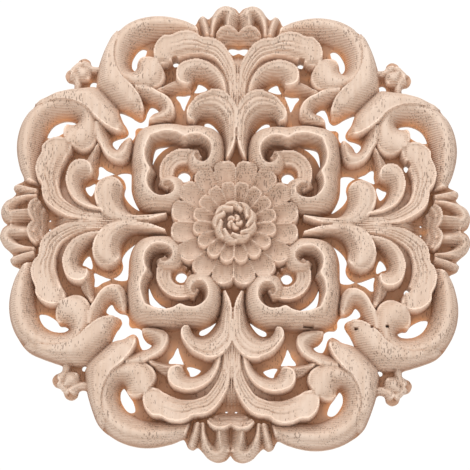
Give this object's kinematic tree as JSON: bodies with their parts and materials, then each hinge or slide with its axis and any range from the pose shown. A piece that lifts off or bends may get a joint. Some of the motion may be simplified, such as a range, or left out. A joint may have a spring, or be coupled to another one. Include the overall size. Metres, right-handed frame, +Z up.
{
  "type": "carved wood rosette applique",
  "caption": "Round pierced applique carved from one board: petalled flower, scrolled corner panels, curling leaves and an outer scroll border, flat back.",
  "frame": {"origin": "centre of the flat back, behind the flower", "axes": "+Z up as it hangs, carving faces -Y, +Y out of the back into the wall"},
  "size_m": [0.15, 0.0127, 0.15],
  "materials": {
    "carved_wood": "unfinished pale pinkish-beige hardwood with small brown pores and fine tool lines"
  },
  "bodies": {
    "root": {"carved_rosette": "carved_wood"}
  },
  "joints": []
}
